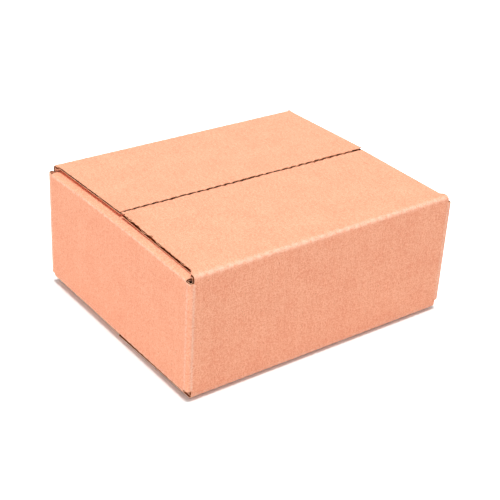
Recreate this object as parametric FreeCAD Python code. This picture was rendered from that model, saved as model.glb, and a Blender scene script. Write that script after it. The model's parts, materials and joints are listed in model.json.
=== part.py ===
import FreeCAD, Part
import math
import os

# A closed shipping box folded from one sheet of single-wall corrugated board.
# X runs along the long walls, Y from the front wall to the rear one, Z up.
# The origin is at the middle of the footprint, on the ground. Millimetres.

# Outside size, at the folds of the long walls
box_length = 200.0
box_width = 165.0
box_height = 84.0

# The board: two flat liners with a waved medium glued between them
board = 3.0
liner = 0.4
medium = 0.35
flute_pitch = 6.6
flank_angle = 45.0

# Folds: outside radii, and the band where creasing has crushed the flutes shut
fold_radius = 3.0
corner_radius = 3.0
crease_band = 3.0

# Slots cut between neighbouring flaps, measured from the outside of the corner
slot_on_long_wall = 3.2
slot_on_short_wall = 4.5
slot_past_fold = 5.5

# Outer flaps: narrower than the wall behind a short shoulder at the fold
flap_inset = 5.5
shoulder_depth = 6.0
shoulder_radius = 2.0
seam_gap = 0.8
flap_rise = 2.8

# Inner flaps: their reach inward, and the air between them and the outer ones
inner_flap_reach = 82.5
top_flap_gap = 0.3
bottom_flap_gap = 0.2

# The glued lap inside the rear right corner
tab_width = 30.0
tab_end_inset = 4.0
tab_end_slope = 12.0

# Places worked out from the sizes above
half_length = box_length / 2
half_width = box_width / 2
half_flap = half_length - flap_inset
half_long_fold = half_length - slot_on_long_wall
half_short_fold = half_width - slot_on_short_wall
inner_flap_top = box_height - board - top_flap_gap
inner_flap_bottom = board + bottom_flap_gap

# How far cutters run past what they cut, and how near two places count as the same
spill = 10.0
same_place = 0.01


def point(plane, a, b):
    """Point of a profile: plane "yz" or "xz" stands upright, "xy" lies flat."""
    places = {"yz": (0, a, b), "xz": (a, 0, b), "xy": (a, b, 0)}
    return FreeCAD.Vector(*places[plane])


def profile(plane, start, steps):
    """Face bounded by steps, each an end point or (middle point, end point) of an arc."""
    edges = []
    here = point(plane, *start)
    for step in steps + [start]:
        is_arc = isinstance(step[0], tuple)
        end = point(plane, *(step[1] if is_arc else step))
        if is_arc:
            edges.append(Part.Arc(here, point(plane, *step[0]), end).toShape())
        else:
            edges.append(Part.LineSegment(here, end).toShape())
        here = end
    return Part.Face(Part.Wire(edges))


def extrude(face, axis, low, high):
    """Solid swept from low to high along axis "x", "y" or "z"."""
    unit = {"x": FreeCAD.Vector(1, 0, 0), "y": FreeCAD.Vector(0, 1, 0), "z": FreeCAD.Vector(0, 0, 1)}[axis]
    moved = face.translated(unit * low)
    return moved.extrude(unit * (high - low))


def block(x0, x1, y0, y1, z0, z1):
    """Box between two corners."""
    return Part.makeBox(x1 - x0, y1 - y0, z1 - z0, FreeCAD.Vector(x0, y0, z0))


def mirrored(solid, axis):
    """The same solid on the other side of the middle, along axis "x" or "y"."""
    normal = FreeCAD.Vector(1, 0, 0) if axis == "x" else FreeCAD.Vector(0, 1, 0)
    return solid.mirror(FreeCAD.Vector(0, 0, 0), normal)


def arc_middle(centre, radius, degrees):
    """Point of a circle in a profile plane."""
    angle = math.radians(degrees)
    return (centre[0] + radius * math.cos(angle), centre[1] + radius * math.sin(angle))


def upright_edges(solid, x, y):
    """Edges of a block that stand upright at one place."""
    return [e for e in solid.Edges
            if abs(e.CenterOfMass.x - x) < same_place and abs(e.CenterOfMass.y - y) < same_place]


def corner_column():
    """Front left corner, folded round, between the slots at its top and bottom."""
    low = slot_past_fold
    high = box_height - slot_past_fold
    post = block(-half_length, spill - half_length, -half_width, spill - half_width, low, high)
    post = post.makeFillet(corner_radius, upright_edges(post, -half_length, -half_width))
    return post.common(block(-half_length, -half_long_fold, -half_width, -half_short_fold, low, high))


def short_side():
    """Left wall with its two inner flaps: a C-shaped section, folded at both ends."""
    outside = -half_length
    inside = outside + board
    free_edge = outside + inner_flap_reach
    low, high = inner_flap_bottom, inner_flap_top
    low_centre = (outside + fold_radius, low + fold_radius)
    high_centre = (outside + fold_radius, high - fold_radius)
    section = profile("xz", (free_edge, high), [
        (outside + fold_radius, high),
        (arc_middle(high_centre, fold_radius, 135), (outside, high - fold_radius)),
        (outside, low + fold_radius),
        (arc_middle(low_centre, fold_radius, 225), (outside + fold_radius, low)),
        (free_edge, low),
        (free_edge, low + board),
        (inside, low + board),
        (inside, high - board),
        (free_edge, high - board),
    ])
    return extrude(section, "y", -half_short_fold, half_short_fold)


def long_side():
    """Front wall with its outer bottom flap, and half of the mitred fold at its top."""
    outside = -half_width
    inside = outside + board
    free_edge = -seam_gap / 2
    low_centre = (outside + fold_radius, fold_radius)
    high_centre = (outside + fold_radius, box_height - fold_radius)
    section = profile("yz", (inside, box_height - board), [
        arc_middle(high_centre, fold_radius, 135),
        (arc_middle(high_centre, fold_radius, 157.5), (outside, box_height - fold_radius)),
        (outside, fold_radius),
        (arc_middle(low_centre, fold_radius, 225), (outside + fold_radius, 0)),
        (free_edge, 0),
        (free_edge, board),
        (inside, board),
    ])
    side = extrude(section, "x", -half_long_fold, half_long_fold)
    return side.cut(shoulder_cutters(free_edge, 0, board))


def shoulder_cutters(free_edge, low, high):
    """What is cut off an outer flap's two sides, from its shoulder to its free edge."""
    start = shoulder_depth - half_width
    right = block(half_flap, half_length + spill, start, free_edge + spill, low - spill, high + spill)
    right = right.makeFillet(min(shoulder_radius, spill / 2), upright_edges(right, half_flap, start))
    return right.fuse(mirrored(right, "x"))


def flute_section(plane, across, mid_height, upward):
    """Cross-section of one air channel: straight flanks and a round crown on the medium."""
    half_inside = board / 2 - liner
    slope = math.tan(math.radians(flank_angle))
    offset = medium / 2 / math.cos(math.radians(flank_angle))
    foot = flute_pitch / 4 + (half_inside - offset) / slope
    crown = medium - half_inside
    # The crown's arc is tangent to both flanks
    flank_start = offset - slope * flute_pitch / 4
    sine, cosine = math.sin(math.radians(flank_angle)), math.cos(math.radians(flank_angle))
    radius = (crown - flank_start) / (slope * sine - (1 - cosine))
    join = radius * sine
    join_height = flank_start + slope * join
    flip = 1 if upward else -1
    places = [(-foot, half_inside), (-join, join_height), (0, crown), (join, join_height), (foot, half_inside)]
    a, b, c, d, e = [(across + u, mid_height + flip * v) for u, v in places]
    return profile(plane, a, [b, (c, d), e])


def flute_channels(plane, axis, half_span, mid_height, low, high):
    """All air channels of a flap, alternately above and below the medium, along one axis."""
    # The outermost ones are cut open by the flap's sides
    reach = half_span + flute_pitch / 2 - 2 * liner
    last = int(reach / (flute_pitch / 2))
    channels = []
    for index in range(-last, last + 1):
        section = flute_section(plane, index * flute_pitch / 2, mid_height, index % 2 == 1)
        channels.append(extrude(section, axis, low, high))
    return Part.makeCompound(channels)


def outer_top_flap():
    """Front outer flap, closed: half of the mitred fold, then a flat fluted plate."""
    outside = -half_width
    inside = outside + board
    free_edge = -seam_gap / 2
    centre = (outside + fold_radius, box_height - fold_radius)
    section = profile("yz", (inside, box_height - board), [
        arc_middle(centre, fold_radius, 135),
        (arc_middle(centre, fold_radius, 112.5), (outside + fold_radius, box_height)),
        (free_edge, box_height),
        (free_edge, box_height - board),
    ])
    flap = extrude(section, "x", -half_long_fold, half_long_fold)
    flap = flap.cut(shoulder_cutters(free_edge, box_height - board, box_height))
    mid_height = box_height - board / 2
    flap = flap.cut(flute_channels("xz", "y", half_flap, mid_height, inside + crease_band, free_edge + spill))
    # The crease is springy, so the free edge stands a little higher than the fold
    rise_angle = math.degrees(math.atan2(flap_rise, free_edge - outside))
    flap.rotate(FreeCAD.Vector(0, outside, box_height), FreeCAD.Vector(1, 0, 0), rise_angle)
    return flap


def glue_tab():
    """Lap of the rear wall, folded round the rear right corner and glued inside the right wall."""
    outside = half_length - board
    inside = outside - board
    low = slot_past_fold + tab_end_inset
    high = box_height - low
    drop = (tab_width - board) * math.tan(math.radians(tab_end_slope))
    free_end = half_width - tab_width
    section = profile("yz", (half_width - board, low), [
        (free_end, low + drop),
        (free_end, high - drop),
        (half_width - board, high),
    ])
    return extrude(section, "x", inside, outside)


def lap_corner():
    """Rear right corner: the right wall ends in a square cut edge beside the rear wall's fold."""
    low = slot_past_fold
    high = box_height - slot_past_fold
    edge = half_length - board
    corner = block(half_long_fold, half_length, half_short_fold, half_width, low, high)
    section = profile("xy", (edge, half_width + spill), [
        (edge - fold_radius, half_width + spill),
        (edge - fold_radius, half_width),
        (arc_middle((edge - fold_radius, half_width - fold_radius), fold_radius, 45),
         (edge, half_width - fold_radius)),
    ])
    return corner, extrude(section, "z", low, high)


def box_body():
    """Walls, bottom flaps, inner top flaps and the glued lap, all one folded sheet."""
    left = short_side()
    right = mirrored(left, "x")
    front = long_side()
    rear = mirrored(front, "y")
    front_left = corner_column()
    front_right = mirrored(front_left, "x")
    rear_left = mirrored(front_left, "y")
    rear_right, groove = lap_corner()
    sheet = left.multiFuse([right, front, rear, front_left, front_right, rear_left, rear_right, glue_tab()])
    return sheet.cut(groove).removeSplitter()


def write(name, shape):
    """Save one node, as a plain solid."""
    solid = shape.Solids[0]
    print(name, "solids", len(shape.Solids), "valid", solid.isValid(), "volume", round(solid.Volume, 1))
    solid.exportStep(os.path.join("parts", name + ".step"))


os.makedirs("parts", exist_ok=True)
front_flap = outer_top_flap()
write("box_body", box_body())
write("front_top_flap", front_flap)
write("rear_top_flap", mirrored(front_flap, "y"))
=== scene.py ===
import json
import math

import bpy
import numpy as np
from mathutils import Matrix, Vector


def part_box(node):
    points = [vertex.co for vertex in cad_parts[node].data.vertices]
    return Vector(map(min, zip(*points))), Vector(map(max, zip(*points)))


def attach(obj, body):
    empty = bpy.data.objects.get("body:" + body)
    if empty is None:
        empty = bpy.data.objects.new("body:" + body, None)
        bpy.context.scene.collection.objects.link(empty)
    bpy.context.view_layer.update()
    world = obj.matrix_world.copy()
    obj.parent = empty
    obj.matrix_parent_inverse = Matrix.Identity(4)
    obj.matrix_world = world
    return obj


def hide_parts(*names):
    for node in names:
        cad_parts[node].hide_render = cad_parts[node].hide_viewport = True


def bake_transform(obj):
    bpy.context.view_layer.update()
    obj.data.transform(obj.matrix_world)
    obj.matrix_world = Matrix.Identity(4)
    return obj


# %% [markdown]
# A shipping box is one sheet of corrugated board, slotted and scored while it is flat and then folded.
# This lesson makes it the same way: a flat blank of real board, and one function that folds it up.
# The frame gives the folded size, and everything below is in millimetres until a mesh is written.

# %% Load the frame and keep its box
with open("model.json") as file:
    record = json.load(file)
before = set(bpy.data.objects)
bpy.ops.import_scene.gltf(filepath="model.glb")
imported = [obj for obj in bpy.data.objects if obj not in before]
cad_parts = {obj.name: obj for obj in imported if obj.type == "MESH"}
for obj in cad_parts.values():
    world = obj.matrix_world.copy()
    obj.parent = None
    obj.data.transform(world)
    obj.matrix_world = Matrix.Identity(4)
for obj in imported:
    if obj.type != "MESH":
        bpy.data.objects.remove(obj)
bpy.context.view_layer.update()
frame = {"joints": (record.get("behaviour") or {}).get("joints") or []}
MM = 0.001
body_low, body_high = (np.array(corner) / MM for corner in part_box("box_body"))
hinges = {joint["child"]: np.array(joint["pos_m"]) / MM for joint in frame["joints"]}
box_length = body_high[0] - body_low[0]
box_width = body_high[1] - body_low[1]
fold_height = hinges["front_flap"][2]
flap_reach = box_width / 2
print("folded box", box_length, box_width, "top folds at", fold_height)

# %% [markdown]
# B flute board is two liners about 0.4 mm thick with a waved sheet, the medium, glued between them.
# Its waves are 6.6 mm apart and run up the walls, so the flaps' free edges cut across them. Every
# pattern on the board follows that pitch, so the grid of the blank is set to quarters of it.

# %% Sizes of the board, its folds and its slots
board = 3.0
liner = 0.4
medium_paper = 0.35
flute_pitch = 6.6
grid_step = flute_pitch / 4
# Folds: their outside radii, and how far beside them the board is crushed. There it is thinner than
# the radius by the gap, and along the outer flaps' cut sides it is thinner by the side crush.
outer_fold_radius = 2.6
inner_fold_radius = 1.9
corner_radius = 2.0
crush_reach = 2.2
crush_fade = 4.0
crushed_gap = 0.15
side_crush = {"front": 0.2, "rear": 1.2}
side_crush_reach = 2.0
# Slots between the flaps, and the outer flaps' shoulders beside them
slot_on_long_wall = 3.2
slot_on_short_wall = 4.5
rear_slots = (4.2, 1.8)
slot_top = fold_height - 4.7
slot_bottom = 7.2
flap_inset = 5.5
shoulder_start = 87.2
shoulder_length = 2.6
seam_half_gap = 0.2
# Heights of the other folds, the lap, and the border between a crease strip and its flap
inner_flap_gap = 0.1
inner_flap_height = fold_height - board - inner_flap_gap
bottom_lift = 1.6
inner_bottom_height = 4.6
lap_width = 30.0
lap_bottom, lap_top = 12, 74.5
lap_slant = 0.13
crease_border = 92.0
# Depth of the hollow between the liners at each kind of cut, next to nothing where pieces join
join_depth = 0.01
pocket_depth = 8.0
side_groove = 2.0
slot_groove = 0.7

# %% [markdown]
# The blank's coordinates are u round the walls, v up them and w into the board from its outside.
# Each wall is a panel with a corner where it starts, a direction along it and one into the box.
# The lap at the far end folds round the last corner and is glued inside the first wall.

# %% The panels of the blank
x_low, y_low, x_high, y_high = body_low[0], body_low[1], body_high[0], body_high[1]
short_slots = (slot_on_short_wall, slot_on_short_wall)
panels = [
    dict(name="right", corner=(x_high, y_high), along=(0, -1), into=(-1, 0), size=box_width, folds=(0, 1),
         top=inner_flap_height, bottom=inner_bottom_height, radius=inner_fold_radius, bow=0.3, slots=short_slots),
    dict(name="front", corner=(x_high, y_low), along=(-1, 0), into=(0, 1), size=box_length, folds=(1, 1),
         top=fold_height, bottom=bottom_lift, radius=outer_fold_radius, lift=(0.1, 0.0), rise=(2.6, 0.8),
         slots=(slot_on_long_wall, slot_on_long_wall), insets=(flap_inset, flap_inset)),
    dict(name="left", corner=(x_low, y_low), along=(0, 1), into=(1, 0), size=box_width, folds=(1, 1),
         top=inner_flap_height, bottom=inner_bottom_height, radius=inner_fold_radius, bow=1.5, slots=short_slots),
    dict(name="rear", corner=(x_low, y_high), along=(1, 0), into=(0, -1), size=box_length - board, folds=(1, 1),
         top=fold_height, bottom=bottom_lift, radius=outer_fold_radius, lift=(1.0, 0.2), rise=(2.45, 2.1),
         slots=rear_slots, insets=(flap_inset, flap_inset - board)),
    dict(name="lap", corner=(x_high - board, y_high), along=(0, -1), into=(-1, 0), size=lap_width, folds=(1, 0),
         top=fold_height, bottom=bottom_lift, radius=outer_fold_radius, slots=(0.0, 0.0)),
]
front_wall, rear_wall, lap_panel = 1, 3, 4
short_walls, long_walls = (0, 2), (1, 3)
half_arc = corner_radius * math.pi / 4
saved_at_fold = corner_radius - half_arc
start = 0.0
for panel in panels:
    panel["u0"] = start
    start += panel["size"] - saved_at_fold * sum(panel["folds"])
    panel["u1"] = start
panel_starts = np.array([panel["u0"] for panel in panels])
print("blank is", round(start, 1), "mm long")

# %% Where on a panel a point of the blank lies
def along_panel(panel, u):
    """Distance from the panel's starting corner, as on the folded box."""
    return u - panel["u0"] + saved_at_fold * panel["folds"][0]


def blank_u(panel, distance):
    """The blank's u for a distance along one panel."""
    return panel["u0"] + distance - saved_at_fold * panel["folds"][0]


def panel_of(u):
    """Index of the panel that each u lies on."""
    return np.clip(np.searchsorted(panel_starts, u, side="right") - 1, 0, len(panels) - 1)


def soft_step(value):
    """0 below 0, 1 above 1 and smooth between."""
    value = np.clip(value, 0, 1)
    return value * value * (3 - 2 * value)


def bell(distance, reach):
    """1 at no distance, falling to 0 at about twice the reach."""
    return np.exp(-(distance / reach) ** 2)

# %% [markdown]
# Real board is never flat. The liner sags a little between the flutes that carry it, the creases crush
# the flutes so each one stands as a small bump, and a whole panel bows. These are small sums of waves
# with fixed seeds, added to the depth w before folding, so both skins and all the pieces agree.

# %% Unevenness of the board
rng = np.random.default_rng(7)
bow_waves = [(rng.uniform(-1, 1) / 55, rng.uniform(-1, 1) / 45, rng.uniform(0, 6.3)) for _ in range(6)]
dent_waves = [(rng.uniform(-1, 1) / 9, rng.uniform(-1, 1) / 9, rng.uniform(0, 6.3)) for _ in range(9)]
flute_sag, sag_variation, crease_sag, least_sag = 0.045, 0.02, 0.09, 0.01
wall_hollow, hollow_variation, least_hollow = 0.25, 0.15, 0.1
bow_sink = 0.3


def wave_sum(waves, u, v):
    """Sum of a few waves over the blank, mostly between -1 and 1."""
    return sum(np.sin(2 * math.pi * (a * u + b * v) + c) for a, b, c in waves) / math.sqrt(len(waves))


def between_ends(panel, key, distance):
    """A size of a long panel, from its value at the box's left end to the one at its right end."""
    left, right = panel.get(key, (0, 0))
    x = panel["corner"][0] + panel["along"][0] * distance
    return left + (right - left) * (x - x_low) / box_length


def top_of(panel, distance):
    """Height of a panel's top fold: short walls bow up, long ones lift at one end."""
    share = np.clip(distance / panel["size"], 0, 1)
    bow = panel.get("bow", 0) * np.sin(math.pi * share)
    return panel["top"] + bow + between_ends(panel, "lift", distance)


def fold_nearness(u, v):
    """1 within each level fold, falling to 0 a few millimetres away."""
    near = np.zeros_like(u)
    index = panel_of(u)
    for k, panel in enumerate(panels):
        on = index == k
        half = panel["radius"] * math.pi / 4
        top = top_of(panel, along_panel(panel, u[on])) - panel["radius"] + half
        bottom = panel["bottom"] + panel["radius"] - half
        past = np.minimum(np.abs(v[on] - top), np.abs(v[on] - bottom)) - half
        near[on] = bell(np.maximum(past, 0), crush_reach)
    return near


def corner_nearness(u, v):
    """1 within each upright corner, falling to 0 a few millimetres away."""
    near = np.zeros_like(u)
    index = panel_of(u)
    upright = soft_step((slot_top - v) / crush_fade + 1) * soft_step((v - slot_bottom) / crush_fade + 1)
    for k, panel in enumerate(panels):
        on = index == k
        for end, edge in ((0, panel["u0"]), (1, panel["u1"])):
            if panel["folds"][end]:
                past = np.maximum(np.abs(u[on] - edge) - half_arc, 0)
                near[on] = np.maximum(near[on], bell(past, crush_reach))
    return near * upright


def side_nearness(u, v, panel):
    """1 at the cut sides of one outer top flap, falling to 0 a few millimetres in."""
    distance = along_panel(panel, u)
    past = np.minimum(distance - panel["insets"][0], panel["size"] - panel["insets"][1] - distance)
    on_flap = ((u > panel["u0"]) & (u < panel["u1"])) * soft_step((v - shoulder_start) / crush_fade)
    return bell(np.maximum(past, 0), side_crush_reach) * on_flap


def board_sag(u, v):
    """How far the liner lies below the flutes' crests."""
    across = 0.5 - 0.5 * np.cos(2 * math.pi * u / flute_pitch)
    amount = flute_sag + sag_variation * wave_sum(dent_waves, u / 3, v / 3) + crease_sag * fold_nearness(u, v)
    return across * np.clip(amount, least_sag, None)

# %% [markdown]
# Folding is the one function that matters. On a panel's flat part, w goes straight into the box. Where
# the walls meet, u turns round an upright arc, and past the top and bottom folds v turns round a level
# one. Creasing crushes the board to between six and eight tenths of its thickness, which is why it can
# fold so sharply: the outer skin keeps the fold's radius, and the inner skin comes out almost sharp.

# %% Fold the blank
def fold(place):
    """Take points (u, v, w) of the blank to (x, y, z) of the box."""
    u, v, w = place.T.copy()
    skin = np.clip(w / board, 0, 1)
    radius = np.array([panel["radius"] for panel in panels])[panel_of(u)]
    crush = np.maximum.reduce([
        fold_nearness(u, v) * (board - radius + crushed_gap),
        corner_nearness(u, v) * (board - corner_radius + crushed_gap)]
        + [side_nearness(u, v, panels[k]) * side_crush[panels[k]["name"]] for k in long_walls])
    # Crushing flattens the flutes and leaves both liners their thickness
    w = w - crush * np.clip((w - liner) / (board - 2 * liner), 0, 1) + board_sag(u, v) * (1 - 2 * skin)
    index = panel_of(u)
    folded = np.zeros_like(place)
    for k, panel in enumerate(panels):
        on = index == k
        folded[on] = fold_panel(panel, u[on], v[on], w[on])
    return folded


def fold_panel(panel, u, v, w):
    """Fold one panel with its two flaps."""
    corner, along, into = (np.array(panel[key], float) for key in ("corner", "along", "into"))
    fold_radius = panel["radius"]
    distance = along_panel(panel, u)
    share = np.clip(distance / panel["size"], 0, 1)
    top = top_of(panel, distance)
    inward, height = w.copy(), v.copy()
    for edge, side in ((top - fold_radius, 1), (panel["bottom"] + fold_radius, -1)):
        past = side * (v - edge)
        bent = past > 0
        angle = np.minimum(past / fold_radius, math.pi / 2)
        flat = np.maximum(past - fold_radius * math.pi / 2, 0)
        inward = np.where(bent, fold_radius - (fold_radius - w) * np.cos(angle) + flat, inward)
        height = np.where(bent, edge + side * (fold_radius - w) * np.sin(angle), height)
        if side == 1 and "rise" in panel:
            rise = between_ends(panel, "rise", distance) - (top - panel["top"])
            x = corner[0] + along[0] * distance
            wave = seam_wave * np.sin(x / seam_ripple + corner[1]) * np.sin(x / seam_swell + 1)
            share_out = np.clip(past / flap_reach, 0, 1)
            height = height + np.where(bent, rise * share_out + wave * share_out ** 4, 0)
        if side == 1 and "bow" in panel:
            sink = bow_sink * (top - panel["top"]) * np.clip(flat / flap_reach, 0, 1)
            height = height - np.where(bent, sink, 0)
        if side == -1 and "rise" in panel:
            height = height - np.where(bent, bottom_lift * np.clip(past / flap_reach, 0, 1), 0)
    # A panel's middle bows in by a few tenths of a millimetre
    hollow = np.sin(math.pi * share) * np.sin(math.pi * np.clip(v / fold_height, 0, 1))
    hollow = hollow * np.clip(wall_hollow + hollow_variation * wave_sum(bow_waves, u, v), least_hollow, None)
    inward = inward + hollow
    spot = corner + np.outer(distance, along) + np.outer(inward, into)
    for end in (0, 1):
        spot = round_corner(panel, end, u, w, spot)
    return np.column_stack([spot, height])


def round_corner(panel, end, u, w, spot):
    """Turn the points within an upright corner's arc round it."""
    if not panel["folds"][end]:
        return spot
    corner, along, into = (np.array(panel[key], float) for key in ("corner", "along", "into"))
    from_end = u - panel["u0"] if end == 0 else panel["u1"] - u
    away = along if end == 0 else -along
    vertex = corner if end == 0 else corner + along * panel["size"]
    centre = vertex + corner_radius * (into + away)
    turn = (half_arc - from_end) / corner_radius
    normal = np.outer(np.cos(turn), -into) + np.outer(np.sin(turn), -away)
    arc = centre + (corner_radius - w)[:, None] * normal
    return np.where((turn > 0)[:, None], arc, spot)

# %% [markdown]
# The die that cuts the blank leaves edges that are not quite straight. The outer flaps are narrower
# than the wall behind a short shoulder. On the front flap's left side the knife tore the liner: a row
# of small teeth near the seam and one chip. So before folding, points near a flap's side move along u,
# and points near its free edge move along v.

# %% Trim the sides of the outer flaps
tooth_places = [146.6, 151.0, 154.6, 158.6, 162.4]
tooth_length = 0.9
tooth_depth = 0.75
chip_place = 132.4
chip_length = 1.5
chip_depth = 1.15
trim_reach = 12.0
side_roughness = 0.07
roughness_fade = 4.0
# Above the rear left corner the slot is shorter by this, fading in over this height and width
rear_left_tongue = 1.3
tongue_fade = 6.0
tongue_sharpness = 2.8
# The seam: its edges' roughness, rise and fall, opening towards the right, and the liner's dragged edge
seam_roughness = 0.09
seam_wave, seam_ripple, seam_swell = 0.16, 6.1, 17
seam_opening, seam_opens_from, seam_opens_over = 0.2, 60, 100
burr_depth, burr_start, burr_length = 0.7, 0.9, 0.8
outer_flap_end = fold_height + (math.pi / 2 - 2) * outer_fold_radius + flap_reach - seam_half_gap
edge_waves = [(0, rng.uniform(0.08, 0.6), rng.uniform(0, 6.3)) for _ in range(8)]


def torn_liner(v):
    """How far the outer liner is torn back along the front flap's left side."""
    teeth = sum(np.exp(-((v - place) / tooth_length) ** 4) for place in tooth_places)
    return tooth_depth * teeth + chip_depth * np.exp(-((v - chip_place) / chip_length) ** 6)


def trim(place):
    """Move the points near the sides of the outer top flaps to the cut line."""
    u, v, w = place.T.copy()
    index = panel_of(u)
    for k in long_walls:
        panel = panels[k]
        on = (index == k) & (v > shoulder_start - 1)
        shoulder = soft_step((v[on] - shoulder_start) / shoulder_length)
        rough = side_roughness * wave_sum(edge_waves, u[on] * 0, v[on] + 40 * k)
        distance = along_panel(panel, u[on])
        for side in (0, 1):
            slot, inset = panel["slots"][side], panel["insets"][side]
            from_side = (distance if side == 0 else panel["size"] - distance) - slot
            push = (inset - slot) * shoulder + rough * soft_step((v[on] - shoulder_start) / roughness_fade)
            if (k, side) == (front_wall, 1):
                push = push + torn_liner(v[on]) * (w[on] <= liner)
            near = np.clip(1 - from_side / trim_reach, 0, 1)
            u[on] += (1 if side == 0 else -1) * push * near
        # The free edge waves a little and opens to the right, as the seam in the photo does
        wave = seam_roughness * wave_sum(edge_waves, u[on] * 0, u[on] / 4 + 70 * k)
        run = distance if k == front_wall else panel["size"] - distance
        wave = wave - seam_opening * soft_step((run - seam_opens_from) / seam_opens_over)
        v[on] += wave * soft_step((v[on] - outer_flap_end) / trim_reach + 1)
        # Where a flute stands behind it, the knife drags the liner's edge down
        burr = np.maximum(np.cos(2 * math.pi * u[on] / flute_pitch), 0) ** 6
        burr = burr * (0.65 + 0.35 * wave_sum(edge_waves, u[on] * 0, u[on] / 2))
        burr = burr * soft_step((v[on] - outer_flap_end + burr_start) / burr_length)
        w[on] += burr_depth * burr * (w[on] <= liner)
    # The slot above the rear left corner is the shortest one
    corner = soft_step(tongue_sharpness * (1 - np.abs(u - panels[rear_wall]["u0"]) / slot_on_short_wall))
    below_slot = soft_step((v - slot_top) / tongue_fade + 1) * (v < slot_top + 0.01)
    v += rear_left_tongue * corner * below_slot
    # The lap is cut back at a slant, top and bottom
    lap = panels[lap_panel]
    on = (index == lap_panel) & (u > lap["u0"] + half_arc)
    middle = fold_height / 2
    slant = 1 - lap_slant * (u[on] - lap["u0"]) / lap["size"]
    v[on] = middle + (v[on] - middle) * slant
    return np.column_stack([u, v, w])

# %% [markdown]
# A piece of board is built over the kept cells of a grid on the blank: an outer skin, an inner skin and
# a rim round every cut. The rim follows the liner's thickness, steps in, comes out again where the cut
# runs along the medium, and steps in once more. That leaves two hollows between three papers, coloured
# dark brown as painted shade, which is what tells corrugated board from solid card.

# %% Build a piece of board from kept cells
# Numbers in the list of finishes, for the skins and for each strip of a rim from liner to liner
skin_finish = 0
rim_finishes = (1, 2, 2, 3, 3, 3, 2, 2, 1)
# Along a flap's side the medium wanders between the liners and stands back by a varying share of the hollow
medium_swings = ((0.55, 3.1), (0.25, 1.3))
least_back, back_swing, back_length = 0.2, 0.25, 2.3
deep_back = 0.95


def rim_edges(kept):
    """Each edge of the kept cells with nothing beyond: two grid points and the way into the board."""
    count_u, count_v = kept.shape
    beyond = np.pad(kept, 1)
    sides = [((-1, 0), (0, 0), (0, 1), (1, 0)), ((0, 1), (0, 1), (1, 1), (0, -1)),
             ((1, 0), (1, 1), (1, 0), (-1, 0)), ((0, -1), (1, 0), (0, 0), (0, 1))]
    edges = []
    for step, first, second, inward in sides:
        open_side = kept & ~beyond[1 + step[0]:1 + step[0] + count_u, 1 + step[1]:1 + step[1] + count_v]
        for i, j in np.argwhere(open_side):
            edges.append(((i + first[0], j + first[1]), (i + second[0], j + second[1]), inward))
    return edges


def board_mesh(u_lines, v_lines, kept, cut_depth):
    """Points of the blank, faces and material numbers of one closed piece of board."""
    places, faces, finish = [], [], []
    skins = []
    corner = np.zeros((len(u_lines), len(v_lines)), bool)
    for di in (0, 1):
        for dj in (0, 1):
            corner[di:len(u_lines) - 1 + di, dj:len(v_lines) - 1 + dj] |= kept
    for depth in (0.0, board):
        number = -np.ones(corner.shape, int)
        number[corner] = len(places) + np.arange(corner.sum())
        places += [(u_lines[i], v_lines[j], depth) for i, j in np.argwhere(corner)]
        skins.append(number)
    for i, j in np.argwhere(kept):
        for number, order in zip(skins, (((0, 0), (0, 1), (1, 1), (1, 0)), ((0, 0), (1, 0), (1, 1), (0, 1)))):
            faces.append([number[i + a, j + b] for a, b in order])
            finish.append(skin_finish)
    edges = rim_edges(kept)
    shifts = {}
    for first, second, inward in edges:
        middle = ((u_lines[first[0]] + u_lines[second[0]]) / 2, (v_lines[first[1]] + v_lines[second[1]]) / 2)
        depth = cut_depth(*middle, inward)
        for grid_point in (first, second):
            shifts.setdefault(grid_point, {})[inward] = max(depth, shifts.get(grid_point, {}).get(inward, 0))
    loops = {}
    for (i, j), ways in shifts.items():
        du = sum(way[0] * depth for way, depth in ways.items())
        dv = sum(way[1] * depth for way, depth in ways.items())
        ring = [skins[0][i, j]]
        for depth, moved in rim_profile(v_lines[j], max(ways.values())):
            ring.append(len(places))
            places.append((u_lines[i] + moved * du, v_lines[j] + moved * dv, depth))
        ring.append(skins[1][i, j])
        loops[(i, j)] = ring
    for first, second, inward in edges:
        a, b = loops[first], loops[second]
        for m, paper in enumerate(rim_finishes):
            faces.append([b[m], a[m], a[m + 1], b[m + 1]])
            finish.append(paper)
    return np.array(places, float), faces, finish


def rim_profile(v, depth):
    """Points of the rim from the outer liner to the inner one: depth w and share of the hollow's depth."""
    wander = board / 2 + sum(swing * math.sin(v / length) for swing, length in medium_swings)
    back = least_back + back_swing * (1 + math.sin(v / back_length))
    if depth != side_groove:
        wander, back = board / 2, deep_back
    half = medium_paper * 0.8
    return [(liner, 0), (liner, 1), (wander - half, 1), (wander - half, back), (wander + half, back),
            (wander + half, 1), (board - liner, 1), (board - liner, 0)]

# %% Write a piece: fold it, and keep its place on the blank for the materials
# Pale of the top folds, partly rubbed wear and partly painted highlight: how strong, how far round the arc, and
# its reach in millimetres
long_fold_wear_and_highlight = (0.85, 0.5, 1.7)
short_fold_wear_and_highlight = (0.9, 0.2, 0.6)
# Pale of the bottom folds, wear and painted highlight: how strong, its height in fold radii, and its reach
bottom_wear_and_highlight, bottom_wear_and_highlight_place, bottom_wear_and_highlight_reach = 0.7, 0.7, 0.9
# Each upright corner has two pale lines, worn and with painted highlight, this far beside its arc
corner_wear_and_highlight_place, corner_wear_and_highlight_reach = 1.0, 0.85
# Extra fibre contrast on the front wall: painted shade of the grazing lamps there
front_grazing_shade = 0.4
sharp_angle = math.radians(40)


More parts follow.
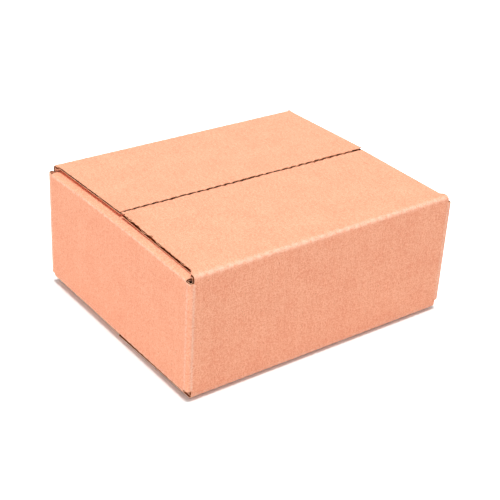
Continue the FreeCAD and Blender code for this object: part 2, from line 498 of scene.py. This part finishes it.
def wear_and_highlight_of(place):
    """Paler board along the folds' outsides, partly rubbed and partly painted highlight where the round folds
    catch the light: 1 there.
    """
    u, v, w = place.T
    index = panel_of(u)
    worn_and_lit = np.zeros(len(place))
    for k, panel in enumerate(panels):
        on = index == k
        arc = panel["radius"] * math.pi / 2
        edge = top_of(panel, along_panel(panel, u[on])) - panel["radius"]
        strength, turn, reach = long_fold_wear_and_highlight if "rise" in panel else short_fold_wear_and_highlight
        upper = strength * bell(v[on] - edge - turn * arc, reach)
        low = panel["bottom"] + bottom_wear_and_highlight_place * panel["radius"]
        lower = bottom_wear_and_highlight * bell(v[on] - low, bottom_wear_and_highlight_reach)
        ends = np.full(on.sum(), 99.0)
        for end, side in ((0, panel["u0"]), (1, panel["u1"])):
            if panel["folds"][end]:
                ends = np.minimum(ends, np.abs(np.abs(u[on] - side) - half_arc - corner_wear_and_highlight_place))
        upright = bell(ends, corner_wear_and_highlight_reach) * ((v[on] < slot_top) & (v[on] > slot_bottom))
        worn_and_lit[on] = np.maximum.reduce([upper, lower, upright])
    return worn_and_lit * (w < board / 2)


def grain_and_grazing_shade_of(place):
    """How strongly the fibres show: 1, and more on the front wall, where the stronger grain is painted shade for
    the lamps that only graze it.
    """
    u, v = place.T[:2]
    on_wall = soft_step((fold_height - 2 - v) / 2) * soft_step((v - bottom_lift) / 2)
    return 1 + front_grazing_shade * (panel_of(u) == front_wall) * on_wall


def write_piece(name, places, faces, finish, finishes):
    """One object at the origin, with its points folded and its blank place as an attribute."""
    trimmed = trim(places)
    mesh = bpy.data.meshes.new(name)
    mesh.from_pydata((fold(trimmed) * MM).tolist(), [], faces)
    for material in finishes:
        mesh.materials.append(material)
    mesh.polygons.foreach_set("material_index", finish)
    blank = mesh.attributes.new("blank_place", "FLOAT_VECTOR", "POINT")
    blank.data.foreach_set("vector", (places * MM).astype(np.float32).ravel())
    # The folds' pale: rubbed wear and painted highlight
    worn_and_lit = mesh.attributes.new("fold_wear_and_highlight", "FLOAT", "POINT")
    worn_and_lit.data.foreach_set("value", wear_and_highlight_of(places).astype(np.float32))
    # Fibre contrast, raised on the front wall as painted shade of its grazing light
    grain = mesh.attributes.new("fibre_contrast_and_grazing_shade", "FLOAT", "POINT")
    grain.data.foreach_set("value", grain_and_grazing_shade_of(places).astype(np.float32))
    mesh.validate()
    mesh.update()
    mesh.shade_smooth()
    mesh.set_sharp_from_angle(angle=sharp_angle)
    piece = bpy.data.objects.new(name, mesh)
    bpy.context.scene.collection.objects.link(piece)
    print(name, len(mesh.vertices), "points", len(mesh.polygons), "faces")
    return piece

# %% [markdown]
# Kraft liner is unbleached wood fibre pressed into paper. It is matt, and the eye reads it by its grain:
# soft clouds, a mottle of a millimetre or two, short fibres lying every way and a few dark specks. The box in
# the photo is lit strongly, so its colour is a warm, light orange brown.

# %% Colours and one function for nodes
def srgb(code):
    """Linear RGBA of an sRGB hex colour."""
    parts = [int(code[i:i + 2], 16) / 255 for i in (1, 3, 5)]
    return tuple(p / 12.92 if p <= 0.04045 else ((p + 0.055) / 1.055) ** 2.4 for p in parts) + (1.0,)


def add_node(tree, kind, inputs=(), **settings):
    """Add one node. Inputs are (name or number, value or socket that feeds it)."""
    node = tree.nodes.new(kind)
    for name, value in settings.items():
        setattr(node, name, value)
    for name, value in dict(inputs).items():
        if isinstance(value, bpy.types.NodeSocket):
            tree.links.new(value, node.inputs[name])
        else:
            node.inputs[name].default_value = value
    return node


def math_node(tree, operation, a, b=0.0, c=0.0, **settings):
    """One number from others."""
    return add_node(tree, "ShaderNodeMath", {0: a, 1: b, 2: c}, operation=operation, **settings).outputs[0]


def colour_ramp(tree, shade, low, dark_colour, high, pale_colour):
    """Colour between a dark one at the low shade and a pale one at the high shade."""
    ramp = add_node(tree, "ShaderNodeValToRGB", {"Fac": shade})
    for stop, position, code in zip(ramp.color_ramp.elements, (low, high), (dark_colour, pale_colour)):
        stop.position = position
        stop.color = srgb(code)
    return ramp.outputs["Color"]


def mixed(tree, share, first, second):
    """Colour that goes from the first to the second as the share goes from 0 to 1."""
    return add_node(tree, "ShaderNodeMix", {0: share, 6: first, 7: second}, data_type="RGBA").outputs[2]


def new_material(name):
    """An empty material and its node tree."""
    material = bpy.data.materials.new(name)
    material.use_nodes = True
    material.node_tree.nodes.clear()
    return material, material.node_tree

# %% Kraft liner, as it comes from the paper machine
# Each layer of the pattern and its weight in the shade; the fibres lie in two directions
# The flute stripe's weight is painted shade of the liner's sag
cloud_weight, mottle_weight, grain_weight, flute_shade_weight = 0.30, 0.85, 1.05, 0.018
fibre_layers = [((1.6, 0.25, 1), 32, 0.45), ((1.5, 0.3, 1), -48, 0.4)]
speck_share = 0.45
# Share of the folds' pale, rubbed wear and painted highlight
wear_and_highlight_share = 0.75


def kraft_liner():
    """Matt brown liner: clouds, mottle, fibres, painted shade of the flutes, specks, and pale along the folds,
    partly rubbed and partly painted highlight.
    """
    material, tree = new_material("kraft_liner")
    blank = add_node(tree, "ShaderNodeAttribute", attribute_name="blank_place").outputs["Vector"]

    def noise(size, detail=2.0, stretch=None, turn=0.0):
        """Noise with grains of a real size in millimetres."""
        vector = blank
        if stretch:
            turned = {"Vector": blank, "Rotation": (0, 0, turn), "Scale": stretch}
            vector = add_node(tree, "ShaderNodeMapping", turned).outputs["Vector"]
        settings = {"Vector": vector, "Scale": 1 / (size * MM), "Detail": detail, "Roughness": 0.6}
        return add_node(tree, "ShaderNodeTexNoise", settings).outputs["Fac"]

    mottle = noise(1.6, 3.0)
    grain = noise(0.8, 2.0)
    layers = [(noise(16), cloud_weight), (mottle, mottle_weight), (grain, grain_weight)]
    for stretch, degrees, weight in fibre_layers:
        layers.append((noise(1.0, 1.0, stretch=stretch, turn=math.radians(degrees)), weight))
    # Each flute shows as a faint upright stripe of painted shade, for the sag of the liner between flutes
    along = add_node(tree, "ShaderNodeSeparateXYZ", {0: blank}).outputs["X"]
    stripe = math_node(tree, "COSINE", math_node(tree, "MULTIPLY", along, 2 * math.pi / (flute_pitch * MM)))
    total = math_node(tree, "MULTIPLY", stripe, flute_shade_weight)
    for layer, weight in layers:
        total = math_node(tree, "ADD", total, math_node(tree, "MULTIPLY_ADD", layer, weight, -weight / 2))
    # The grain's strength: more on the front wall as painted shade of its grazing light
    contrast_and_shade = add_node(tree, "ShaderNodeAttribute", attribute_name="fibre_contrast_and_grazing_shade").outputs["Fac"]
    shade = math_node(tree, "MULTIPLY_ADD", total, contrast_and_shade, 0.5)
    plain = colour_ramp(tree, shade, 0.21, "#EC9575", 0.79, "#FFBC99")
    specks = add_node(tree, "ShaderNodeMapRange", {
        "Value": noise(1.3, 0.0), "From Min": 0.22, "From Max": 0.12}).outputs["Result"]
    flecked = mixed(tree, math_node(tree, "MULTIPLY", specks, speck_share), plain, srgb("#B06A48"))
    # The pale on a fold, wear and painted highlight, is patchy: it follows the mottle, and the flutes behind it
    worn_and_lit = add_node(tree, "ShaderNodeAttribute", attribute_name="fold_wear_and_highlight").outputs["Fac"]
    patchy = math_node(tree, "MULTIPLY_ADD", stripe, 0.16, math_node(tree, "MULTIPLY_ADD", mottle, 1.6, -0.25))
    rubbed_and_lit = math_node(tree, "MULTIPLY", worn_and_lit, patchy, use_clamp=True)
    colour = mixed(tree, math_node(tree, "MULTIPLY", rubbed_and_lit, wear_and_highlight_share), flecked, srgb("#FFDCC6"))
    relief = math_node(tree, "MULTIPLY_ADD", grain, 0.7, math_node(tree, "MULTIPLY", mottle, 0.5))
    bump = add_node(tree, "ShaderNodeBump", {"Height": relief, "Strength": 1.0, "Distance": 0.4 * MM})
    shader = add_node(tree, "ShaderNodeBsdfPrincipled", {
        "Base Color": colour, "Roughness": 0.88, "Specular IOR Level": 0.25, "Normal": bump.outputs[0]})
    add_node(tree, "ShaderNodeOutputMaterial", {"Surface": shader.outputs[0]})
    return material

# %% Cut board, bare medium and the hollows' painted shade
def rough_paper(name, dark_colour, pale_colour, gloss=0.2):
    """Torn or cut kraft fibre: rougher than the liner, with no finish on it. Given dark colours, it is the
    painted shade deep in a cut edge's hollows.
    """
    material, tree = new_material(name)
    place = add_node(tree, "ShaderNodeTexCoord").outputs["Object"]
    fibre = add_node(tree, "ShaderNodeTexNoise", {"Vector": place, "Scale": 1 / (0.8 * MM), "Detail": 3.0})
    colour = colour_ramp(tree, fibre.outputs["Fac"], 0.3, dark_colour, 0.7, pale_colour)
    bump = add_node(tree, "ShaderNodeBump", {
        "Height": fibre.outputs["Fac"], "Strength": 0.5, "Distance": 0.2 * MM})
    shader = add_node(tree, "ShaderNodeBsdfPrincipled", {
        "Base Color": colour, "Roughness": 0.95, "Specular IOR Level": gloss, "Normal": bump.outputs[0]})
    add_node(tree, "ShaderNodeOutputMaterial", {"Surface": shader.outputs[0]})
    return material


liner_finish = kraft_liner()
cut_finish = rough_paper("cut_liner_edge", "#E7A07A", "#FFD2B2")
# The hollows between the liners are dark brown: painted shade of the cut edge's recesses, not a colour of the
# board
hollow_shade_finish = rough_paper("hollow_painted_shade", "#6A2810", "#964820", gloss=0.0)
medium_finish = rough_paper("fluting_medium", "#D08C62", "#F8C09A")
board_finishes = [liner_finish, cut_finish, hollow_shade_finish, medium_finish]
print("finishes", [finish.name for finish in board_finishes])

# %% [markdown]
# The grid lines are the quarters of the flute pitch, closer round the corners and the folds. The walls,
# the bottom flaps, the inner top flaps and the lap are one piece. The outer top flaps are pieces of
# their own because they swing, and so are the strips along their folds, which have to bend.

# %% Grid lines
def spread(low, high, step):
    """Even lines from low to high, no further apart than step."""
    return list(np.linspace(low, high, max(2, int(math.ceil((high - low) / step)) + 1)))


def panel_lines(panel):
    """Lines across one panel: its corner arcs, the slots' sides and every quarter flute."""
    low = panel["u0"] + (half_arc if panel["folds"][0] else 0)
    high = panel["u1"] - (half_arc if panel["folds"][1] else 0)
    lines = [panel["u0"], low, high, panel["u1"]]
    for end, edge in ((0, panel["u0"]), (1, panel["u1"])):
        if panel["folds"][end]:
            way = 1 if end == 0 else -1
            lines += spread(edge, edge + way * half_arc, half_arc / 3)
            lines += [edge + way * (half_arc + past) for past in (0.4, 0.9, 1.4)]
        if panel["slots"][end]:
            side = panel["slots"][0] if end == 0 else panel["size"] - panel["slots"][1]
            lines.append(blank_u(panel, side))
    first, last = math.ceil(low / grid_step), math.floor(high / grid_step)
    lines += [n * grid_step for n in range(first, last + 1)]
    lines = np.unique(np.round(lines, 4))
    marks = [panel["u0"], panel["u1"], blank_u(panel, panel["slots"][0]),
             blank_u(panel, panel["size"] - panel["slots"][1])]
    keep = [x for x in lines if all(abs(x - m) < 0.001 or abs(x - m) > 0.3 for m in marks)]
    return np.array(keep)


def flat_reach(radius, reach):
    """Length on the blank from a fold's start to a flap's free edge."""
    return radius * math.pi / 2 + reach - radius


outer_reach = flat_reach(outer_fold_radius, flap_reach - seam_half_gap)
inner_reach = flat_reach(inner_fold_radius, flap_reach)
inner_flap_end = inner_flap_height - inner_fold_radius + inner_reach
outer_bottom_end = bottom_lift + outer_fold_radius - outer_reach
inner_bottom_end = inner_bottom_height + inner_fold_radius - inner_reach
# Bands of the blank's height: from, to and step, close at the folds
wall_bands = [(outer_bottom_end, inner_bottom_end, 3), (inner_bottom_end, -4, 4.6), (-4, slot_bottom, 0.8),
              (slot_bottom, lap_bottom, 0.8), (lap_bottom, 70, 3.6), (70, slot_top, 0.85), (slot_top, 90, 0.85),
              (90, inner_flap_end, 4.6)]
wall_v = np.unique(np.round(np.concatenate([spread(*band) for band in wall_bands]), 4))
wall_u = np.unique(np.concatenate([panel_lines(panel) for panel in panels]))
print("grid of the walls", len(wall_u), "by", len(wall_v))

# %% Which cells the walls keep, and how deep their cuts are
# Cuts outside these heights of the blank are flaps' free edges, and flaps' sides
free_edge_heights = (-20, 100)
flap_side_heights = (-8, 92)


def wall_keeps(u, v):
    """True on the walls, the bottom flaps, the inner top flaps and the lap."""
    panel = panels[int(panel_of(u))]
    if panel["name"] == "lap":
        return u < panel["u0"] + half_arc and slot_bottom < v < slot_top or lap_bottom < v < lap_top
    if slot_bottom < v < slot_top:
        return True
    distance = along_panel(panel, u)
    if not panel["slots"][0] < distance < panel["size"] - panel["slots"][1]:
        return False
    if "rise" in panel:
        return outer_bottom_end < v < slot_top
    return inner_bottom_end < v < inner_flap_end


def wall_cut(u, v, inward):
    """Depth of the hollow between the liners behind a cut edge."""
    panel = panels[int(panel_of(u))]
    distance = along_panel(panel, u)
    across_flutes = inward[0] == 0
    between_slots = panel["slots"][0] < distance < panel["size"] - panel["slots"][1]
    if across_flutes and "rise" in panel and abs(v - slot_top) < 0.01 and between_slots:
        return join_depth
    if across_flutes and not free_edge_heights[0] < v < free_edge_heights[1]:
        return pocket_depth
    on_side = not flap_side_heights[0] < v < flap_side_heights[1] or slot_bottom < v < slot_top
    return side_groove if on_side and not across_flutes else slot_groove


def cells(u_lines, v_lines, keeps):
    """Grid of the cells that a piece keeps."""
    centre_u, centre_v = (u_lines[:-1] + u_lines[1:]) / 2, (v_lines[:-1] + v_lines[1:]) / 2
    return np.array([[keeps(u, v) for v in centre_v] for u in centre_u])


wall_cells = cells(wall_u, wall_v, wall_keeps)
walls = write_piece("carton_walls", *board_mesh(wall_u, wall_v, wall_cells, wall_cut), board_finishes)

# %% The outer top flaps and the strips that fold
def flap_lines(panel):
    """Lines across an outer flap, from slot to slot."""
    low, high = blank_u(panel, panel["slots"][0]), blank_u(panel, panel["size"] - panel["slots"][1])
    lines = panel_lines(panel)
    return lines[(lines > low - 0.001) & (lines < high + 0.001)]


def crease_cut(u, v, inward):
    """A crease strip is cut at its two ends only."""
    return slot_groove if inward[0] else join_depth


def flap_cut(u, v, inward):
    """A flap is cut at its sides and its free edge, and joins its crease strip."""
    if inward[0]:
        return side_groove
    return pocket_depth if v > crease_border + 1 else join_depth


top_pieces = {}
for panel in (panels[front_wall], panels[rear_wall]):
    side = panel["name"]
    lines = flap_lines(panel)
    crease_v = np.array(spread(slot_top, crease_border, 0.7))
    flap_v = np.array(spread(crease_border, outer_flap_end, 0.8))
    whole_crease = np.ones((len(lines) - 1, len(crease_v) - 1), bool)
    whole_flap = np.ones((len(lines) - 1, len(flap_v) - 1), bool)
    top_pieces[side] = (
        write_piece(side + "_crease", *board_mesh(lines, crease_v, whole_crease, crease_cut), board_finishes),
        write_piece(side + "_flap_board", *board_mesh(lines, flap_v, whole_flap, flap_cut), board_finishes))

# %% [markdown]
# The medium is what shows in a cut edge: one wave repeated a few dozen times. Geometry Nodes suit it
# well: one flute is bent from a small grid, given paper thickness, and set on a row of points, each
# crushed by its own amount. The sheet comes out flat, in the blank's units, and is then folded.

# %% The tree that makes a row of flutes
flute_height = board - 2 * liner - medium_paper
flute_crush = 0.22
# A sheet stops short of the flap's sides, a little behind the cut, and just clear of the liner
flute_margin, flute_recess, flute_clearance = 0.6, 0.08, 0.01


def flute_tree():
    """Geometry Nodes: one flute, repeated along a row, each a little crushed."""
    tree = bpy.data.node_groups.new("flute_row", "GeometryNodeTree")
    sizes = {"Pitch": ("NodeSocketFloat", flute_pitch), "Height": ("NodeSocketFloat", flute_height),
             "Depth": ("NodeSocketFloat", pocket_depth), "Paper": ("NodeSocketFloat", medium_paper),
             "Flutes": ("NodeSocketInt", 29), "Crush": ("NodeSocketFloat", flute_crush),
             "Seed": ("NodeSocketInt", 1)}
    for name, (kind, value) in sizes.items():
        tree.interface.new_socket(name=name, in_out="INPUT", socket_type=kind).default_value = value
    tree.interface.new_socket(name="Finish", in_out="INPUT", socket_type="NodeSocketMaterial")
    tree.interface.new_socket(name="Geometry", in_out="OUTPUT", socket_type="NodeSocketGeometry")
    given = add_node(tree, "NodeGroupInput").outputs
    grid = add_node(tree, "GeometryNodeMeshGrid", {
        "Size X": given["Pitch"], "Size Y": given["Depth"], "Vertices X": 11, "Vertices Y": 3})
    across = add_node(tree, "ShaderNodeSeparateXYZ", {0: add_node(tree, "GeometryNodeInputPosition").outputs[0]})
    turns = math_node(tree, "DIVIDE", across.outputs["X"], given["Pitch"])
    cosine = math_node(tree, "COSINE", math_node(tree, "MULTIPLY", turns, 2 * math.pi))
    height = math_node(tree, "MULTIPLY", math_node(tree, "MULTIPLY_ADD", cosine, 0.5, 0.5), given["Height"])
    offset = add_node(tree, "ShaderNodeCombineXYZ", {"Z": height})
    bent = add_node(tree, "GeometryNodeSetPosition", {
        "Geometry": grid.outputs["Mesh"], "Offset": offset.outputs[0]})
    thick = add_node(tree, "GeometryNodeExtrudeMesh", {
        "Mesh": bent.outputs[0], "Offset Scale": given["Paper"], "Individual": False}, mode="FACES")
    under = add_node(tree, "GeometryNodeFlipFaces", {"Mesh": bent.outputs[0]})
    both = add_node(tree, "GeometryNodeJoinGeometry", {0: thick.outputs["Mesh"]})
    tree.links.new(under.outputs[0], both.inputs[0])
    closed = add_node(tree, "GeometryNodeMergeByDistance", {"Geometry": both.outputs[0], "Distance": 0.005})
    step = add_node(tree, "ShaderNodeCombineXYZ", {"X": given["Pitch"]})
    row = add_node(tree, "GeometryNodeMeshLine", {"Count": given["Flutes"], "Offset": step.outputs[0]})
    least = math_node(tree, "SUBTRACT", 1.0, given["Crush"])
    crushed = add_node(tree, "FunctionNodeRandomValue", {2: least, 3: 1.0, 8: given["Seed"]})
    scale = add_node(tree, "ShaderNodeCombineXYZ", {"X": 1.0, "Y": 1.0, "Z": crushed.outputs[1]})
    flutes = add_node(tree, "GeometryNodeInstanceOnPoints", {
        "Points": row.outputs[0], "Instance": closed.outputs[0], "Scale": scale.outputs[0]})
    real = add_node(tree, "GeometryNodeRealizeInstances", {0: flutes.outputs[0]})
    joined = add_node(tree, "GeometryNodeMergeByDistance", {"Geometry": real.outputs[0], "Distance": 0.02})
    finished = add_node(tree, "GeometryNodeSetMaterial", {
        "Geometry": joined.outputs[0], "Material": given["Finish"]})
    add_node(tree, "NodeGroupOutput", {0: finished.outputs[0]})
    return tree


def flute_row(tree, **values):
    """Points and faces of one row of flutes, as a flat sheet in millimetres."""
    holder = bpy.data.objects.new("flute_row", bpy.data.meshes.new("flute_row"))
    bpy.context.scene.collection.objects.link(holder)
    modifier = holder.modifiers.new("flutes", "NODES")
    modifier.node_group = tree
    for socket in tree.interface.items_tree:
        if socket.in_out == "INPUT" and socket.name in values:
            modifier[socket.identifier] = values[socket.name]
    made = bpy.data.meshes.new_from_object(holder.evaluated_get(bpy.context.evaluated_depsgraph_get()))
    points = np.array([vertex.co for vertex in made.vertices], float)
    faces = [list(polygon.vertices) for polygon in made.polygons]
    bpy.data.objects.remove(holder)
    bpy.data.meshes.remove(made)
    return points, faces

# %% Put the flutes into the pockets of the cut edges
flutes = flute_tree()


def pocket_flutes(panel, insets, edge, inward, seed):
    """Medium sheet of one free edge: places on the blank and faces."""
    low = blank_u(panel, insets[0] + flute_margin)
    high = blank_u(panel, panel["size"] - insets[1] - flute_margin)
    first, last = math.ceil(low / flute_pitch + 0.5), math.floor(high / flute_pitch - 0.5)
    points, faces = flute_row(flutes, Pitch=flute_pitch, Height=flute_height, Depth=pocket_depth,
                              Paper=medium_paper, Flutes=last - first + 1, Crush=flute_crush, Seed=seed,
                              Finish=medium_finish)
    u = first * flute_pitch + points[:, 0]
    v = edge + inward * (pocket_depth / 2 - flute_recess) + points[:, 1]
    w = board - liner - points[:, 2] - flute_clearance
    return np.column_stack([u, v, w]), faces


def join_sheets(sheets):
    """Several sheets of places and faces as one."""
    places, faces = [], []
    for points, polygons in sheets:
        faces += [[n + len(places) for n in face] for face in polygons]
        places += points.tolist()
    return np.array(places), faces


front, rear = panels[front_wall], panels[rear_wall]
# Edges of the carton itself: the walls, the edge's height, the way into the board and the first seed
carton_edges = [(short_walls, inner_flap_end, -1, 11), (short_walls, inner_bottom_end, 1, 21),
                (long_walls, outer_bottom_end, 1, 31)]
medium_sheets = {
    "front_flap_medium": [pocket_flutes(front, front["insets"], outer_flap_end, -1, 3)],
    "rear_flap_medium": [pocket_flutes(rear, rear["insets"], outer_flap_end, -1, 5)],
    "carton_medium": [pocket_flutes(panels[k], panels[k]["slots"], edge, inward, seed + k)
                      for walled, edge, inward, seed in carton_edges for k in walled],
}
mediums = {}
for name, sheets in medium_sheets.items():
    places, faces = join_sheets(sheets)
    mediums[name] = write_piece(name, places, faces, [0] * len(faces), [medium_finish])

# %% [markdown]
# The floor is a white table. To the camera it is a little brighter than it is to the box, so it stays
# white and still keeps the thin shadow under the folds. A white sky, a broad lamp overhead and a weaker
# one low on the left make the top brightest, the left wall next and the front wall darkest.

# %% Floor
def shown_white(tree):
    """1 for rays that should see plain white: from the camera, a reflection or through glass."""
    ray = add_node(tree, "ShaderNodeLightPath").outputs
    seen = math_node(tree, "MAXIMUM", ray["Is Camera Ray"], ray["Is Glossy Ray"])
    return math_node(tree, "MAXIMUM", seen, ray["Is Transmission Ray"])


def floor_finish():
    """White for the camera and plain pale grey for the light that the box receives."""
    material, tree = new_material("white_table")
    level = add_node(tree, "ShaderNodeMapRange", {"Value": shown_white(tree), "To Min": 0.78, "To Max": 1.25})
    colour = add_node(tree, "ShaderNodeCombineColor", {n: level.outputs["Result"] for n in (0, 1, 2)})
    diffuse = add_node(tree, "ShaderNodeBsdfDiffuse", {"Color": colour.outputs[0]})
    add_node(tree, "ShaderNodeOutputMaterial", {"Surface": diffuse.outputs[0]})
    return material


# A plane three metres each way, a tenth of a millimetre under the box
floor_half = 3.0
floor_level = -0.1 * MM
floor_corners = [(x * floor_half, y * floor_half, floor_level) for x, y in ((-1, -1), (1, -1), (1, 1), (-1, 1))]
floor_mesh = bpy.data.meshes.new("table")
floor_mesh.from_pydata(floor_corners, [], [(0, 1, 2, 3)])
floor_mesh.materials.append(floor_finish())
floor = bpy.data.objects.new("table", floor_mesh)
bpy.context.scene.collection.objects.link(floor)

# %% Sky and lamps: level, direction that it comes from, and width in degrees
sky_level = 0.52
lamps = {
    "overhead_lamp": (2.85, Vector((0.015, 0.0, 1.0)), 25),
    "side_lamp": (1.65, Vector((-0.78, -0.52, 0.10)), 20),
}
world = bpy.data.worlds.new("white_sky")
bpy.context.scene.world = world
world.use_nodes = True
sky = world.node_tree
sky.nodes.clear()
sky_place = add_node(sky, "ShaderNodeTexCoord").outputs["Generated"]
sky_height = add_node(sky, "ShaderNodeSeparateXYZ", {0: sky_place}).outputs["Z"]
# The studio's light comes from above, so the sky is dark near the horizon
glow = add_node(sky, "ShaderNodeMapRange", {"Value": sky_height, "From Min": 0.2, "From Max": 0.75,
                                           "To Min": 0.05, "To Max": sky_level}).outputs["Result"]
strength = add_node(sky, "ShaderNodeMapRange", {"Value": shown_white(sky), "To Min": glow, "To Max": 1.0})
background = add_node(sky, "ShaderNodeBackground", {
    "Strength": strength.outputs["Result"], "Color": (1, 1, 1, 1)})
add_node(sky, "ShaderNodeOutputWorld", {"Surface": background.outputs[0]})
for name, (lamp_level, lamp_from, lamp_width) in lamps.items():
    lamp_data = bpy.data.lights.new(name, "SUN")
    lamp_data.energy = lamp_level
    lamp_data.angle = math.radians(lamp_width)
    lamp = bpy.data.objects.new(name, lamp_data)
    lamp.rotation_mode = "QUATERNION"
    lamp.rotation_quaternion = lamp_from.to_track_quat("Z", "Y")
    bpy.context.scene.collection.objects.link(lamp)

# %% [markdown]
# The camera stands where the photo was taken from. Its place, turn and lens were worked out from the
# box's edges in the picture: it looks down at 29 degrees on the front left corner, with a slight roll.

# %% Camera
camera_place = Vector((-414.06, -541.42, 410.29)) * MM
view_azimuth = math.radians(-37.649)
view_elevation = math.radians(28.915)
view_roll = math.radians(-3.211)
camera_data = bpy.data.cameras.new("camera")
camera_data.sensor_width = 36.0
camera_data.lens = 85.18
camera = bpy.data.objects.new("camera", camera_data)
bpy.context.scene.collection.objects.link(camera)
back = Vector((math.sin(view_azimuth) * math.cos(view_elevation),
               -math.cos(view_azimuth) * math.cos(view_elevation), math.sin(view_elevation)))
right = (-back).cross(Vector((0, 0, 1))).normalized()
down = (-back).cross(right)
rolled_right = math.cos(view_roll) * right + math.sin(view_roll) * down
rolled_down = -math.sin(view_roll) * right + math.cos(view_roll) * down
turn = Matrix((rolled_right, -rolled_down, back)).transposed()
camera.matrix_world = Matrix.Translation(camera_place) @ turn.to_4x4()
bpy.context.scene.camera = camera
bpy.context.scene.view_settings.view_transform = "Standard"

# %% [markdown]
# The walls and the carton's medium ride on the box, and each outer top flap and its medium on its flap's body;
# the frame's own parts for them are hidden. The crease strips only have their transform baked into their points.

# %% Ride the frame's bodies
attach(walls, "box")
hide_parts("box_body")
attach(mediums["carton_medium"], "box")
for side, facing in (("front", 1), ("rear", -1)):
    crease, flap = top_pieces[side]
    body = side + "_flap"
    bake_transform(crease)
    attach(flap, body)
    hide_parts(side + "_top_flap")
    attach(mediums[side + "_flap_medium"], body)
